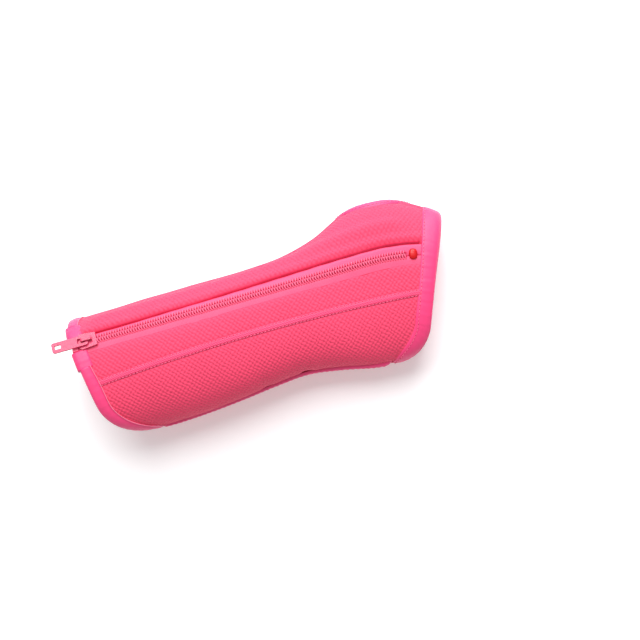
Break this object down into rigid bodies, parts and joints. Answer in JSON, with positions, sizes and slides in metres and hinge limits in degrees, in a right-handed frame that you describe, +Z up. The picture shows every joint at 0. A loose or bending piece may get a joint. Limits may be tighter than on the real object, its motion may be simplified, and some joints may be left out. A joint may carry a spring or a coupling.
{
  "type": "wrist guard",
  "caption": "Right-hand knit and foam wrist guard with palmar and dorsal stays, bound edges, a thumb hole and a full-length back zip that opens two flaps",
  "frame": {"origin": "centre of the palmar stay pocket's flat underside, on which the guard lies", "axes": "+X towards the fingers, +Y towards the thumb, +Z up through the back of the hand"},
  "size_m": [0.2319, 0.0973, 0.0604],
  "materials": {
    "shell_knit": "pink textured knit over foam, matt",
    "lining": "soft brushed lining",
    "binding": "folded satin binding tape",
    "seam_tape": "cover-stitched knit band",
    "zip_tape": "woven polyester tape",
    "zip_coil": "nylon coil",
    "stop_plastic": "moulded red stop",
    "slider_paint": "pink enamelled zinc",
    "stay_metal": "plain strip, rounded ends"
  },
  "bodies": {
    "sleeve": {"palmar_panel": "shell_knit", "hand_panel_radial": "shell_knit", "hand_panel_ulnar": "shell_knit", "palmar_lining": "lining", "hand_lining": "lining", "hand_end_binding": "binding", "forearm_binding_palmar": "binding", "thumb_hole_binding": "binding", "ulnar_seam_binding": "binding", "palmar_stay_pocket": "shell_knit", "palmar_stay": "stay_metal", "bottom_stop": "stop_plastic"},
    "flap_radial": {"flap_panel_radial": "shell_knit", "flap_lining_radial": "lining", "forearm_binding_radial": "binding", "dorsal_stay": "stay_metal", "zip_tape_radial": "zip_tape", "zip_chain_radial": "zip_coil", "top_stop_radial": "zip_coil"},
    "flap_ulnar": {"flap_panel_middle": "shell_knit", "flap_panel_ulnar": "shell_knit", "flap_lining_ulnar": "lining", "forearm_binding_ulnar": "binding", "middle_seam_tape": "seam_tape", "zip_tape_ulnar": "zip_tape", "zip_chain_ulnar": "zip_coil", "top_stop_ulnar": "zip_coil"},
    "slider": {"slider_body": "slider_paint", "slider_bridge": "slider_paint"},
    "tab": {"pull_tab": "slider_paint"}
  },
  "joints": [
    {"name": "slider_run", "type": "slide", "parent": "sleeve", "child": "slider", "axis": [0.9967, 0.0319, -0.0741], "range_m": [0, 0.1815]},
    {"name": "tab_swing", "type": "hinge", "parent": "slider", "child": "tab", "pos_m": [-0.09518, 0.01869, 0.05718], "axis": [-0.0595, 0.9107, -0.4088], "range_deg": [0, 165]},
    {"name": "flap_radial_open", "type": "hinge", "parent": "sleeve", "child": "flap_radial", "pos_m": [-0.107, 0.0328, 0.028], "axis": [-0.9938, -0.111, 0], "range_deg": [0, 40], "deforming": ["zip_tape_radial", "zip_chain_radial"]},
    {"name": "flap_ulnar_open", "type": "hinge", "parent": "sleeve", "child": "flap_ulnar", "pos_m": [0, -0.0408, 0.028], "axis": [1, 0, 0], "range_deg": [0, 22], "deforming": ["zip_tape_ulnar", "zip_chain_ulnar", "middle_seam_tape"]}
  ],
  "couplings": [
    {"joint": "flap_radial_open", "follows": "slider_run", "rad_per_m": 3.84},
    {"joint": "flap_ulnar_open", "follows": "slider_run", "rad_per_m": 2.11}
  ]
}
